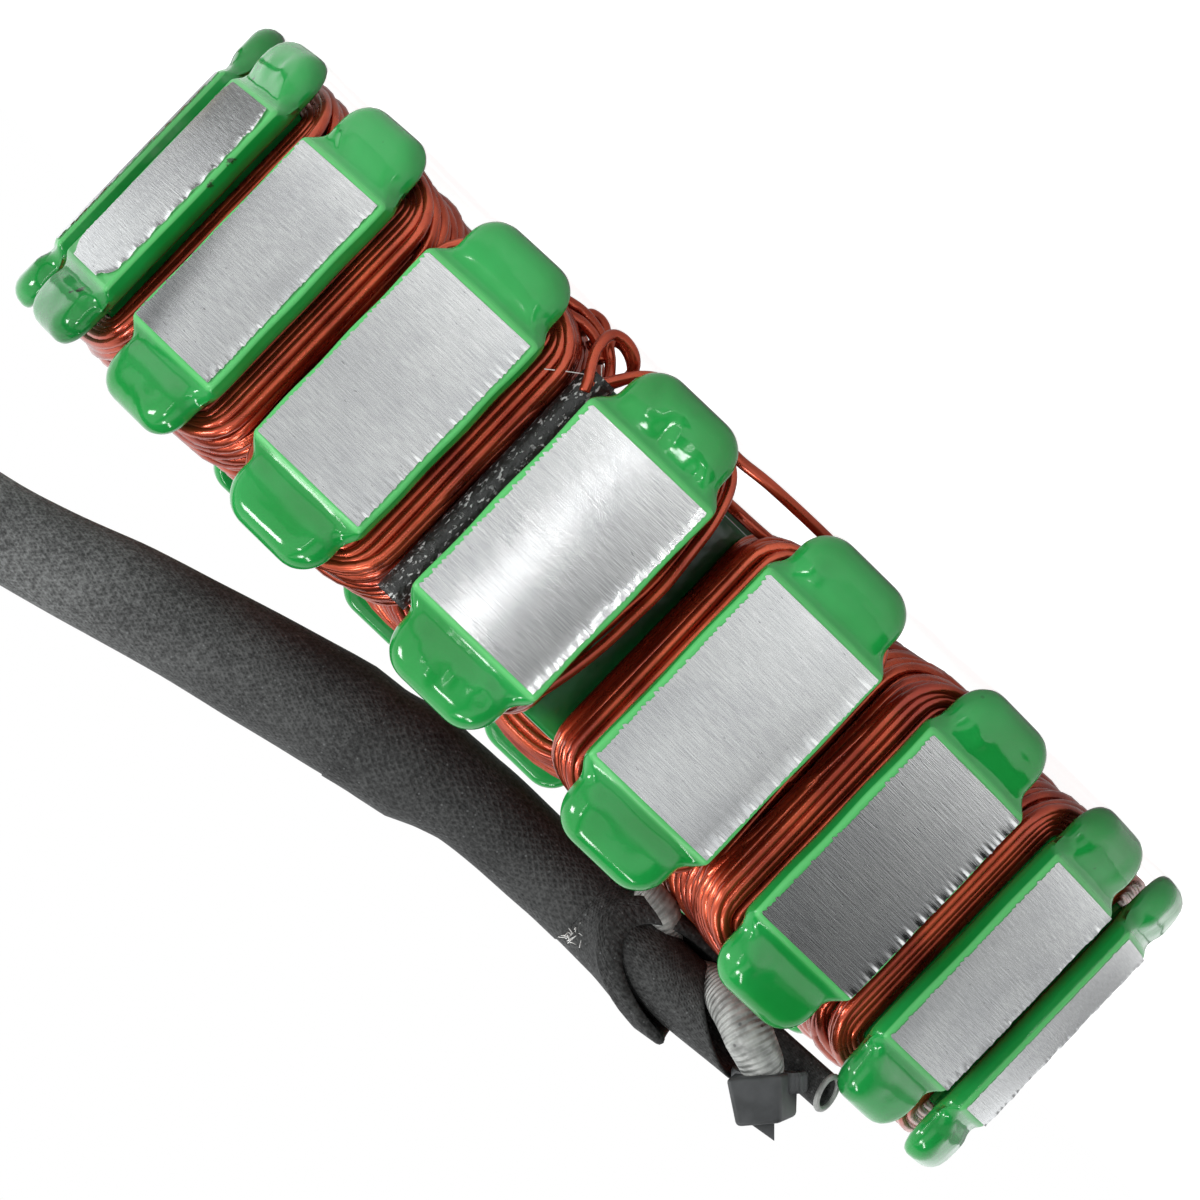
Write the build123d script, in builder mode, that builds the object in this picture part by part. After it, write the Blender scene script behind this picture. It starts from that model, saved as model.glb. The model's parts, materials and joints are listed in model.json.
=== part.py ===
from build123d import *
from math import cos, radians, sin, tan
import os

# Wound stator of an outer-rotor generator: a toothed lamination stack between two coated end
# plates with bent tabs, one coil round each tooth, and a braided lead sleeve tied down on the end
# turns. +Z is the stator's axis, on the side the lead leaves. The origin is the axis at mid-height
# of the stack, and azimuth 0 is the middle of tooth 1. Lengths are in millimetres.

# Stack: teeth on a yoke, sizes taken over the insulating coat except for the bare tooth faces
pole_count = 18
face_diameter = 110.0
bore_diameter = 44.0
stack_height = 19.5
yoke_flats = 71.9
stem_width = 6.5
tip_width = 13.2
tip_edge = 1.7
tip_taper = 1.2

# End plates and their tabs, bent up along the axis at the tooth tips
plate_thickness = 1.65
tab_width = 10.8
tab_thickness = 2.1
tab_reach = 6.15
tab_foot = 0.9
tab_shoulder = 1.4
tab_corner = 1.8
tab_setback = 0.15

# Mounting holes, in a round seat that is masked off when the plates are coated
seat_diameter = 65.0
seat_depth = 0.3
bolt_count = 3
bolt_circle_diameter = 54.0
bolt_hole = 6.5

# Coils: ridges of wound wire, building up towards the tooth tip as the slot widens
ridge_count = 5
ridge_depth = 0.45
coil_foot_gap = 0.3
coil_head_gap = 0.35
coil_stem_gap = 0.05
coil_slot_gap = 0.75
end_build = 3.0
corner_cut_inner = 1.5
corner_cut_outer = 3.2

# The two coils beside the open slot are wound slimmer
slim_poles = (14, 15)
slim_slot_gap = 3.05
slim_end_build = 2.4
slim_corner_cut = 1.7

# Enamelled wire that runs from coil to coil over the lower end
wire_diameter = 1.0
wire_sides = 6

# Sleeve over the wire in the slot between teeth 15 and 16
slot_sleeve_diameter = 2.9
slot_sleeve_length = 24.0
slot_sleeve_inset = 5.5
slot_sleeve_pole = 16
slot_sleeve_turn = -11.0

# Sleeves over the joints, lying on the end turns of teeth 12 to 15
sleeve_sides = 12
joint_cover_diameter = 9.5
cover_mouth_diameter = 10.2
cover_mouth_wall = 0.8
cover_mouth_depth = 3.0
joint_sleeve_diameter = 7.0
joint_sleeve_mouth = 6.2
pale_sleeve_diameter = 4.2
pale_sleeve_mouth = 4.0
small_sleeve_diameter = 3.4
small_sleeve_wall = 0.45
small_sleeve_depth = 3.0

# Cable tie round the pale and the small sleeve
tie_band_width = 2.4
tie_band_thickness = 0.6
tie_loop_width = 7.8
tie_loop_height = 5.7
tie_loop_corner = 1.4
tie_head_length = 5.7
tie_head_height = 3.6
tie_head_depth = 4.0
tie_tail_width = 2.2
tie_tail_thickness = 1.2
tie_tail_length = 1.3

# Lead sleeve, the wires that come out of it and the plug they end in
lead_diameter = 8.0
lead_sides = 8
lead_first_run = 17.1
lead_wire_count = 3
lead_wire_diameter = 2.4
lead_wire_length = 12.0
lead_wire_pitch = 2.6
blade_pitch = 6.0
blade_width = 0.8
blade_height = 4.8
blade_length = 9.0
housing_width = 20.0
housing_height = 9.0
housing_length = 22.0
housing_edge = 0.8
cavity_width = 4.4
cavity_height = 6.6
cavity_depth = 12.0
latch_width = 5.0
latch_foot = 3.0
latch_root = 2.0
latch_length = 14.0
latch_thickness = 1.2
latch_gap = 0.9

# Sizes that follow
pole_pitch = 360 / pole_count
face_radius = face_diameter / 2
half_stack = stack_height / 2
half_plated = half_stack + plate_thickness
yoke_apothem = yoke_flats / 2
half_tip = tip_width / 2
half_stem = stem_width / 2
tip_flat = (face_radius**2 - half_tip**2) ** 0.5
tip_side = tip_flat - tip_edge
tip_root = tip_side - tip_taper
tab_outer = tip_flat - tab_setback
tab_inner = tab_outer - tab_thickness
tab_end = half_stack + tab_reach
coil_inner = yoke_apothem / cos(radians(pole_pitch / 2)) + coil_foot_gap
coil_outer = tip_root - coil_head_gap
window_half_width = half_stem + coil_stem_gap
window_half_height = half_plated + coil_stem_gap
slot_slope = tan(radians(pole_pitch / 2))

os.makedirs("parts", exist_ok=True)


def placed(route, side=1):
    """A route's points, each given as azimuth, depth inside the tooth circle and height off the stack."""
    points = []
    for azimuth, inset, rise in route:
        radius = face_radius - inset
        turn = radians(azimuth)
        points.append((radius * cos(turn), radius * sin(turn), side * (half_stack + rise)))
    return points


# Routes of the sleeves and wires, as points chosen along each piece's centre line
joint_cover_route = placed(
    [(282.07, 18.19, 11.25), (269.52, 18.9, 9.65), (256.04, 18.52, 9.35), (239.56, 13.94, 10.05)]
)
joint_sleeve_route = placed([(241.39, 14.91, 10.05), (235.66, 13.34, 10.25), (229.34, 11.1, 9.25)])
pale_sleeve_route = placed([(236.58, 8.51, 7.35), (233.92, 7.12, 7.55), (229.99, 4.61, 8.25)])
small_sleeve_route = placed([(229.28, 9.02, 7.05), (226.17, 6.62, 6.9), (220.97, 4.67, 6.55)])
tie_band_place = placed([(229.43, 6.42, 7.9)])[0]
tie_head_place = placed([(227.98, 3.31, 10.65)])[0]
tie_head_axis = (-0.72, 0, -0.69)
upper_crossover_route = placed(
    [
        (289.54, 5.66, 2.75),
        (289.8, 7.17, 5.45),
        (281.36, 9.3, 5.45),
        (262.84, 10.05, 5.55),
        (253.65, 10.6, 5.45),
    ],
    side=-1,
)
lower_crossover_route = placed([(288.64, 19.96, 2.25), (271.01, 21.09, 2.25), (250.27, 20.05, 2.25)], side=-1)

# Route of the lead, in line with the joint cover at first and down to the surface the stator lies on
lead_start = Vector(*joint_cover_route[0])
lead_direction = (lead_start - Vector(*joint_cover_route[1])).normalized()
lead_route = [
    lead_start,
    lead_start + lead_direction * lead_first_run,
    (41.6, -33.6, 29.4),
    (58.5, -30.8, 31.8),
    (77.0, -27.6, 28.8),
    (95.0, -20.5, 19.0),
    (109.0, -7.5, 5.6),
    (118.0, 10.0, -6.2),
    (121.5, 31.0, -11.9),
    (121.0, 54.0, -11.9),
    (117.5, 77.0, -11.9),
    (111.0, 99.0, -11.9),
]


def tooth_outline(tip):
    """A tooth along +X: its stem out to the shoe, and the shoe as far as a straight tip."""
    with BuildSketch() as tooth:
        with BuildLine():
            Polyline(
                (tip, half_tip),
                (tip_side, half_tip),
                (tip_root, half_stem),
                (0, half_stem),
                (0, -half_stem),
                (tip_root, -half_stem),
                (tip_side, -half_tip),
                (tip, -half_tip),
                close=True,
            )
        make_face()
    return tooth.sketch


def face_cap():
    """What the turned face adds beyond a tooth's straight tip."""
    with BuildSketch() as cap:
        with BuildLine():
            ThreePointArc((tip_flat, -half_tip), (face_radius, 0), (tip_flat, half_tip))
            Line((tip_flat, half_tip), (tip_flat, -half_tip))
        make_face()
    return cap.sketch


def stack_profile(tooth):
    """The yoke, flat at the bottom of each slot, with a tooth at every pitch, bored and drilled."""
    with BuildSketch() as profile:
        RegularPolygon(yoke_apothem, pole_count, major_radius=False, rotation=pole_pitch / 2)
        with PolarLocations(0, pole_count):
            add(tooth)
        Circle(bore_diameter / 2, mode=Mode.SUBTRACT)
        with PolarLocations(bolt_circle_diameter / 2, bolt_count, start_angle=90):
            Circle(bolt_hole / 2, mode=Mode.SUBTRACT)
    return profile.sketch


def tab_outline():
    """A bent tab seen along its tooth: tip width at the foot, shoulders, then a tongue."""
    half_tab = tab_width / 2
    shoulder_low = half_stack + tab_foot
    shoulder_high = shoulder_low + tab_shoulder
    with BuildSketch() as outline:
        with BuildLine():
            Polyline(
                (-half_tab, tab_end),
                (-half_tab, shoulder_high),
                (-half_tip, shoulder_low),
                (-half_tip, half_stack),
                (half_tip, half_stack),
                (half_tip, shoulder_low),
                (half_tab, shoulder_high),
                (half_tab, tab_end),
                close=True,
            )
        make_face()
        chamfer(outline.vertices().group_by(Axis.Y)[-1], length=tab_corner)
    return outline.sketch


core_tooth = tooth_outline(tip_flat) + face_cap()
core_profile = stack_profile(core_tooth)
plate_profile = stack_profile(tooth_outline(tab_outer))
tab_face = tab_outline()


# Lamination stack: thin steel sheets pressed together, its tooth faces turned to one diameter
with BuildPart() as lamination_stack:
    with BuildSketch(Plane.XY.offset(-half_stack)):
        add(core_profile)
    extrude(amount=stack_height)
lamination_stack.part.label = "lamination_stack"
export_step(lamination_stack.part, "parts/lamination_stack.step")


# One tab at azimuth 0, standing on the tip of its tooth
with BuildPart() as plate_tab:
    with BuildSketch(Plane.YZ.offset(tab_inner)):
        add(tab_face)
    extrude(amount=tab_thickness)


# Upper end plate: a thick coated sheet whose tooth tips are bent up to hold the end turns
with BuildPart() as end_plate_upper:
    with BuildSketch(Plane.XY.offset(half_stack)):
        add(plate_profile)
    extrude(amount=plate_thickness)
    with PolarLocations(0, pole_count):
        add(plate_tab.part)
    with BuildSketch(Plane.XY.offset(half_plated)):
        Circle(seat_diameter / 2)
    extrude(amount=-seat_depth, mode=Mode.SUBTRACT)
end_plate_upper.part.label = "end_plate_upper"
export_step(end_plate_upper.part, "parts/end_plate_upper.step")


# Lower end plate: the same plate turned over
with BuildPart() as end_plate_lower:
    mirror(end_plate_upper.part, about=Plane.XY)
end_plate_lower.part.label = "end_plate_lower"
export_step(end_plate_lower.part, "parts/end_plate_lower.step")


def ridged_band(inner_half, outer_half):
    """A band along +X from the coil's foot to its head, both edges ridged like wound wire."""
    length = coil_outer - coil_inner
    edge = []
    for i in range(2 * ridge_count + 1):
        share = i / (2 * ridge_count)
        groove = ridge_depth if i % 2 == 0 else 0
        edge.append((coil_inner + length * share, inner_half + (outer_half - inner_half) * share - groove))
    with BuildSketch() as band:
        with BuildLine():
            Polyline(*edge, *[(x, -y) for x, y in reversed(edge)], close=True)
        make_face()
    return band.sketch


def wound_coil(head_gap, end, cut_inner, cut_outer):
    """One coil on the tooth at azimuth 0: ridged on its sides, its ends and its four cut corners."""
    half_inner = coil_inner * slot_slope - coil_slot_gap
    half_outer = coil_outer * slot_slope - head_gap
    half_height = window_half_height + end
    corner_inner = (half_inner + half_height - cut_inner) / 2**0.5
    corner_outer = (half_outer + half_height - cut_outer) / 2**0.5
    seen_from_above = ridged_band(half_inner, half_outer)
    seen_from_the_side = ridged_band(half_height, half_height)
    seen_across_corners = ridged_band(corner_inner, corner_outer)
    with BuildPart() as coil:
        with BuildSketch(Plane.XY):
            add(seen_from_above)
        extrude(amount=half_height, both=True)
        with BuildSketch(Plane.XZ):
            add(seen_from_the_side)
        extrude(amount=half_outer, both=True, mode=Mode.INTERSECT)
        for turn in (45, -45):
            with BuildSketch(Plane.XY.rotated((turn, 0, 0))):
                add(seen_across_corners)
            extrude(amount=half_height + half_outer, both=True, mode=Mode.INTERSECT)
        with BuildSketch(Plane.YZ.offset(coil_inner)):
            Rectangle(2 * window_half_width, 2 * window_half_height)
        extrude(amount=coil_outer - coil_inner, mode=Mode.SUBTRACT)
    return coil.part


full_coil = wound_coil(coil_slot_gap, end_build, corner_cut_inner, corner_cut_outer)
slim_coil = wound_coil(slim_slot_gap, slim_end_build, corner_cut_inner, slim_corner_cut)


# Coils: one to a tooth
for pole in range(1, pole_count + 1):
    azimuth = (pole - 1) * pole_pitch
    with BuildPart() as coil:
        add(slim_coil if pole in slim_poles else full_coil, rotation=(0, 0, azimuth))
    coil.part.label = f"coil_{pole:02d}"
    export_step(coil.part, f"parts/coil_{pole:02d}.step")


def bend_radii(route):
    """A radius for each bend of a route, as large as its two runs allow."""
    points = [Vector(*point) for point in route]
    radii = []
    for before, here, after in zip(points, points[1:], points[2:]):
        run_in = here - before
        run_out = after - here
        turn = radians(run_in.get_angle(run_out))
        radii.append(0.45 * min(run_in.length, run_out.length) / tan(turn / 2))
    return radii


def swept_tube(route, diameter, sides):
    """A tube along straight runs joined by arcs, its round section drawn with a few flats."""
    radii = bend_radii(route)
    with BuildPart() as tube:
        with BuildLine() as path:
            FilletPolyline(*route, radius=radii)
        with BuildSketch(Plane(origin=path.wire() @ 0, z_dir=path.wire() % 0)):
            RegularPolygon(diameter / 2, sides)
        sweep()
    print("bends", [round(r, 1) for r in radii], "length", round(path.wire().length, 1))
    return tube.part


def section_plane(route, i):
    """The plane across a route at one of its points."""
    before = Vector(*route[max(i - 1, 0)])
    after = Vector(*route[min(i + 1, len(route) - 1)])
    return Plane(origin=route[i], x_dir=(0, 0, 1), z_dir=after - before)


def sleeve_body(route, diameters):
    """A sleeve lofted through a round section at each point of its route."""
    with BuildPart() as body:
        for i, diameter in enumerate(diameters):
            with BuildSketch(section_plane(route, i)):
                RegularPolygon(diameter / 2, sleeve_sides)
        loft(ruled=True)
    return body.part


# Crossover wires: from the sleeved slot over two coils, and a second one along the yoke's end
with BuildPart() as crossover_wires:
    add(swept_tube(upper_crossover_route, wire_diameter, wire_sides))
    add(swept_tube(lower_crossover_route, wire_diameter, wire_sides))
crossover_wires.part.label = "crossover_wires"
export_step(crossover_wires.part, "parts/crossover_wires.step")


# Slot sleeve: braid over the wire that crosses the stack in the slot
slot_sleeve_angle = radians((slot_sleeve_pole - 1) * pole_pitch + slot_sleeve_turn)
slot_sleeve_radius = face_radius - slot_sleeve_inset
slot_sleeve_foot = (
    slot_sleeve_radius * cos(slot_sleeve_angle),
    slot_sleeve_radius * sin(slot_sleeve_angle),
    -slot_sleeve_length / 2,
)
with BuildPart() as slot_sleeve:
    with BuildSketch(Plane(origin=slot_sleeve_foot)):
        RegularPolygon(slot_sleeve_diameter / 2, sleeve_sides)
    extrude(amount=slot_sleeve_length)
slot_sleeve.part.label = "slot_sleeve"
export_step(slot_sleeve.part, "parts/slot_sleeve.step")


# Joint cover: the wide sleeve over the joints, its open mouth a loose rim round what comes out
cover_foot_diameter = lead_diameter + 2 * cover_mouth_wall
cover_diameters = [cover_foot_diameter, joint_cover_diameter, joint_cover_diameter, cover_mouth_diameter]
with BuildPart() as joint_cover:
    add(sleeve_body(joint_cover_route, cover_diameters))
    with BuildSketch(section_plane(joint_cover_route, 3)):
        RegularPolygon(cover_mouth_diameter / 2 - cover_mouth_wall, sleeve_sides)
    extrude(amount=-cover_mouth_depth, mode=Mode.SUBTRACT)
joint_cover.part.label = "joint_cover"
export_step(joint_cover.part, "parts/joint_cover.step")


# Joint sleeve: the next sleeve in, out of the cover's mouth
with BuildPart() as joint_sleeve:
    add(sleeve_body(joint_sleeve_route, [joint_sleeve_diameter, joint_sleeve_diameter, joint_sleeve_mouth]))
joint_sleeve.part.label = "joint_sleeve"
export_step(joint_sleeve.part, "parts/joint_sleeve.step")


# Pale sleeve: glass braid over one joint, its end in the cable tie
with BuildPart() as pale_sleeve:
    add(sleeve_body(pale_sleeve_route, [pale_sleeve_diameter, pale_sleeve_diameter, pale_sleeve_mouth]))
pale_sleeve.part.label = "pale_sleeve"
export_step(pale_sleeve.part, "parts/pale_sleeve.step")


# Small sleeve: open at its far end
with BuildPart() as small_sleeve:
    add(sleeve_body(small_sleeve_route, [small_sleeve_diameter] * 3))
    with BuildSketch(section_plane(small_sleeve_route, 2)):
        RegularPolygon(small_sleeve_diameter / 2 - small_sleeve_wall, sleeve_sides)
    extrude(amount=-small_sleeve_depth, mode=Mode.SUBTRACT)
small_sleeve.part.label = "small_sleeve"
export_step(small_sleeve.part, "parts/small_sleeve.step")


# Cable tie: a band round the pale and the small sleeve, the locking head and the cut tail
tie_band_plane = Plane(origin=tie_band_place, x_dir=(0, 1, 0), z_dir=(1, 0, 0))
tie_head_plane = Plane(origin=tie_head_place, x_dir=tie_head_axis, z_dir=(0, 1, 0))
with BuildSketch() as tie_opening:
    Rectangle(tie_loop_width, tie_loop_height)
    chamfer(tie_opening.vertices(), length=tie_loop_corner)
tie_loop = tie_opening.sketch
with BuildPart() as cable_tie:
    with BuildSketch(tie_band_plane) as band:
        Rectangle(tie_loop_width + 2 * tie_band_thickness, tie_loop_height + 2 * tie_band_thickness)
        chamfer(band.vertices(), length=tie_loop_corner + tie_band_thickness)
        add(tie_loop, mode=Mode.SUBTRACT)
    extrude(amount=tie_band_width / 2, both=True)
    with BuildSketch(tie_head_plane):
        Rectangle(tie_head_length, tie_head_height)
    extrude(amount=tie_head_depth / 2, both=True)
    with BuildSketch(tie_head_plane):
        with Locations((0, (tie_head_height + tie_tail_length) / 2)):
            Rectangle(tie_tail_thickness, tie_tail_length)
    extrude(amount=tie_tail_width / 2, both=True)
cable_tie.part.label = "cable_tie"
export_step(cable_tie.part, "parts/cable_tie.step")


# Lead sleeve: from the joint cover out past the stator and round on the surface it lies on
lead_sleeve = swept_tube(lead_route, lead_diameter, lead_sides)
lead_sleeve.label = "lead_sleeve"
export_step(lead_sleeve, "parts/lead_sleeve.step")


# The plug lies beyond the lead sleeve's end, on the surface that the stator stands on
lead_end = Vector(*lead_route[-1])
lead_heading = (lead_end - Vector(*lead_route[-2])).normalized()
across_lead = Vector(0, 0, 1).cross(lead_heading)
housing_rise = housing_height / 2 - tab_end - lead_end.Z
housing_foot = lead_end + lead_heading * lead_wire_length + Vector(0, 0, housing_rise)
sleeve_end_plane = Plane(origin=lead_end, x_dir=across_lead, z_dir=lead_heading)
plug_back_plane = Plane(origin=housing_foot, x_dir=across_lead, z_dir=lead_heading)
plug_side_plane = Plane(origin=housing_foot, x_dir=lead_heading, z_dir=-across_lead)


def lead_wire(place):
    """One insulated wire, fanning out from its place in the sleeve's end to its own cavity."""
    with BuildPart() as wire:
        with BuildSketch(sleeve_end_plane):
            with Locations((place * lead_wire_pitch, 0)):
                RegularPolygon(lead_wire_diameter / 2, lead_sides)
        with BuildSketch(plug_back_plane):
            with Locations((place * blade_pitch, 0)):
                RegularPolygon(lead_wire_diameter / 2, lead_sides)
        loft(ruled=True)
    return wire.part


# Lead wires: one to a phase
wires = [lead_wire(i - (lead_wire_count - 1) / 2) for i in range(lead_wire_count)]
with BuildPart() as lead_wires:
    add(wires)
lead_wires.part.label = "lead_wires"
export_step(lead_wires.part, "parts/lead_wires.step")


# Plug housing: a cavity for each blade, and a latch lever along the top
with BuildPart() as plug_housing:
    with BuildSketch(plug_back_plane):
        Rectangle(housing_width, housing_height)
    extrude(amount=housing_length)
    chamfer(plug_housing.edges().filter_by(Axis(housing_foot, lead_heading)), length=housing_edge)
    with BuildSketch(plug_back_plane.offset(housing_length)):
        with GridLocations(blade_pitch, 1, lead_wire_count, 1):
            Rectangle(cavity_width, cavity_height)
    extrude(amount=-cavity_depth, mode=Mode.SUBTRACT)
    with BuildSketch(plug_side_plane):
        with BuildLine():
            Polyline(
                (latch_foot, housing_height / 2),
                (latch_foot, housing_height / 2 + latch_gap + latch_thickness),
                (latch_foot + latch_length, housing_height / 2 + latch_gap + latch_thickness),
                (latch_foot + latch_length, housing_height / 2 + latch_gap),
                (latch_foot + latch_root, housing_height / 2 + latch_gap),
                (latch_foot + latch_root, housing_height / 2),
                close=True,
            )
        make_face()
    extrude(amount=latch_width / 2, both=True)
plug_housing.part.label = "plug_housing"
export_step(plug_housing.part, "parts/plug_housing.step")


# Blades: flat terminals standing in the housing's cavities
with BuildPart() as plug_blades:
    with BuildSketch(plug_back_plane.offset(housing_length - cavity_depth)):
        with GridLocations(blade_pitch, 1, lead_wire_count, 1):
            Rectangle(blade_width, blade_height)
    extrude(amount=blade_length)
plug_blades.part.label = "plug_blades"
export_step(plug_blades.part, "parts/plug_blades.step")
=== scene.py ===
import bmesh
import bpy
import json
import numpy as np
from math import cos, pi, radians, sin, tan
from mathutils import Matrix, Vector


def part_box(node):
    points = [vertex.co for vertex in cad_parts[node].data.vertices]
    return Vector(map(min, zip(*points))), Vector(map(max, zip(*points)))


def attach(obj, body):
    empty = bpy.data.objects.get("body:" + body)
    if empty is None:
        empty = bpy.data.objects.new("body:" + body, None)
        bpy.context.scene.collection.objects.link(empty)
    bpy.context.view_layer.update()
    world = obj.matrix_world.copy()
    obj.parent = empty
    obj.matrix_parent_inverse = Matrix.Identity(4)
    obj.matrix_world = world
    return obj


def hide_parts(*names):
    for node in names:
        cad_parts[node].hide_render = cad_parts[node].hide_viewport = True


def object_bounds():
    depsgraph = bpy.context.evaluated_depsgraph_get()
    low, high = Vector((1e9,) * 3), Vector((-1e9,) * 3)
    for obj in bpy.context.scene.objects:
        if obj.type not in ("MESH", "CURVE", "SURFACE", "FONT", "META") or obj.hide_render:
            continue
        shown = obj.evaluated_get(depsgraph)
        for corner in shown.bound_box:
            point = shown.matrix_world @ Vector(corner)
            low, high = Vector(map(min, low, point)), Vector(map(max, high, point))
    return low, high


# Wound stator of an outer-rotor generator. Lengths are worked in millimetres and turned into metres
# as each piece is made. Azimuth 0 is the middle of tooth 1, and +Z is the side the lead leaves.
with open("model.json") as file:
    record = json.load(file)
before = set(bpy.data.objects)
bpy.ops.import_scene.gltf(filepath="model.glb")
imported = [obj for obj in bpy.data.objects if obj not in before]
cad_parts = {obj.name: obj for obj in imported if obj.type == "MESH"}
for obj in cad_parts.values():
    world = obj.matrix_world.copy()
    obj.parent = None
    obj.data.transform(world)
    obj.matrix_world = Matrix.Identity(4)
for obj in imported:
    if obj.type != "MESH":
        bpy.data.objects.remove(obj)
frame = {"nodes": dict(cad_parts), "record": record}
cad_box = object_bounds()
scene = bpy.context.scene
scene.view_settings.view_transform = "Standard"


# Camera: level with the teeth that face it, with a long lens, and rolled so that the stator's axis runs
# from the lower left of the picture to the upper right.
camera_data = bpy.data.cameras.new("camera")
camera_data.sensor_width = 36
camera_data.lens = 195.508
camera = bpy.data.objects.new("camera", camera_data)
camera.location = (0.048799, -0.558359, 0.008759)
camera.rotation_euler = (radians(-88.7575), radians(43.7493), radians(-174.1391))
scene.collection.objects.link(camera)
scene.camera = camera


# Light tent: white cloth all round, which is also the white background. The metal mirrors its greys and
# the dark gaps where it is open: at the photographer, and on one side.
class Shade:
    """A socket in a node tree. Sums and products on it add Math nodes."""

    def __init__(self, tree, socket):
        self.tree = tree
        self.socket = socket

    def node(self, kind, settings, inputs, output=0):
        """Another node: its settings first, then the values or links of its sockets."""
        made = self.tree.nodes.new(kind)
        for name, value in settings.items():
            if name == "stops":
                for place, tone in value[2:]:
                    made.color_ramp.elements.new(place)
                for element, (place, tone) in zip(made.color_ramp.elements, value):
                    element.position = place
                    element.color = (*tone, 1)
            else:
                setattr(made, name, value)
        for name, value in inputs.items():
            if isinstance(value, Shade):
                self.tree.links.new(value.socket, made.inputs[name])
            else:
                made.inputs[name].default_value = value
        return Shade(self.tree, made.outputs[output])

    def math(self, operation, *others):
        return self.node("ShaderNodeMath", {"operation": operation}, dict(enumerate((self, *others))))

    def __add__(self, other):
        return self.math("ADD", other)

    __radd__ = __add__

    def __sub__(self, other):
        return self.math("SUBTRACT", other)

    def __rsub__(self, other):
        return self * -1 + other

    def __mul__(self, other):
        return self.math("MULTIPLY", other)

    __rmul__ = __mul__

    def __truediv__(self, other):
        return self.math("DIVIDE", other)

    def between(self, low, high):
        """0 below low, 1 above high and smooth between them."""
        ends = {"Value": self, "From Min": low, "From Max": high}
        return self.node("ShaderNodeMapRange", {"interpolation_type": "SMOOTHSTEP"}, ends)

    def colour(self, low, high):
        """The colour low where this is 0 and high where it is 1."""
        return self.node("ShaderNodeMix", {"data_type": "RGBA"}, {0: self, 6: low, 7: high}, 2)

    def stretched(self, x, y, z):
        """This vector with each of its parts multiplied."""
        return self.node("ShaderNodeVectorMath", {"operation": "MULTIPLY"}, {0: self, 1: (x, y, z)})

    def part(self, axis):
        return self.node("ShaderNodeSeparateXYZ", {}, {0: self}, "XYZ".index(axis))

    def noise(self, scale, detail=2.0, roughness=0.5):
        """Soft noise at this place, about 0.5 on average."""
        wanted = {"Vector": self, "Scale": scale, "Detail": detail, "Roughness": roughness}
        return self.node("ShaderNodeTexNoise", {}, wanted)

    def cells(self, scale):
        """The distance to the nearest of many scattered points."""
        return self.node("ShaderNodeTexVoronoi", {}, {"Vector": self, "Scale": scale})

    def apart(self, spot=(0, 0, 0)):
        """How far this place is from a spot."""
        return self.node("ShaderNodeVectorMath", {"operation": "DISTANCE"}, {0: self, 1: spot}, 1)

    def ray(self, kind):
        return self.node("ShaderNodeLightPath", {}, {}, f"Is {kind} Ray")

    def bump(self, depth):
        """A surface raised by this many metres times depth."""
        return self.node("ShaderNodeBump", {}, {"Strength": 1.0, "Distance": depth, "Height": self})


world = bpy.data.worlds.new("light tent")
world.use_nodes = True
background = world.node_tree.nodes["Background"]
tent = Shade(world.node_tree, None)
heading = tent.node("ShaderNodeTexCoord", {}, {}, "Generated")
turn = (heading.part("Y").math("ARCTAN2", heading.part("X")) / (2 * pi)).math("FRACT")
# How bright the tent is at each bearing in degrees, a touch bluer than it is red.
tent_levels = [(0, 1.0), (25, 1.2), (46, 1.58), (90, 1.14), (126, 1.12), (150, 0.96), (168, 0.78),
               (184, 0.03), (206, 0.0), (226, 0.0), (236, 1.04), (250, 1.14), (261, 0.80), (269, 0.04),
               (277, 0.34), (284, 0.72), (290, 0.98), (302, 1.02), (314, 1.08), (340, 0.84)]
red_share = 0.985
blue_share = 1.015
stops = [(bearing / 360, (level * red_share, level, level * blue_share)) for bearing, level in tent_levels]
tent_tone = turn.node("ShaderNodeValToRGB", {"stops": stops}, {0: turn})
tent_shade = (tent.ray("Camera") + tent.ray("Transmission")).colour(tent_tone, (1, 1, 1, 1))
world.node_tree.links.new(tent_shade.socket, background.inputs["Color"])
scene.world = world


# Lamps: a narrow strip, whose image is the bright band on the nearest tooth face, and four soft boxes
# higher up, which give the coat and the wires their glints.
# Azimuth and elevation in degrees, distance, width and height in metres, and power in watts.
lamps = {
    "strip_lamp": (288.4, 4, 1.1, 0.02, 0.7, 0.55),
    "upper_lamp": (248, 52, 0.9, 0.15, 0.15, 1.5),
    "side_lamp": (216, 46, 0.9, 0.35, 0.07, 1.4),
    "left_lamp": (332, 36, 0.9, 0.25, 0.2, 3.6),
    "glint_lamp": (284, 30, 0.9, 0.1, 0.1, 0.8),
}
for name, (azimuth, elevation, distance, width, height, power) in lamps.items():
    data = bpy.data.lights.new(name, "AREA")
    data.shape = "RECTANGLE"
    data.size = width
    data.size_y = height
    data.energy = power
    lamp = bpy.data.objects.new(name, data)
    ring = distance * cos(radians(elevation))
    level = distance * sin(radians(elevation))
    lamp.location = (ring * cos(radians(azimuth)), ring * sin(radians(azimuth)), level)
    lamp.rotation_euler = lamp.location.to_track_quat("Z", "Y").to_euler()
    scene.collection.objects.link(lamp)


# Floor: a white board that the stator lies on. The camera sees it as the white background with a faint
# shadow. Near the stator its colour is painted paler, a painted pool of light, and there it glows for
# mirrored rays only, a painted reflection, so metal mirrors it as grey near the stator and darker further
# out.
half_floor = 3.0
seen_glow = 0.94
painted_reflection_glow = 0.35


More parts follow.
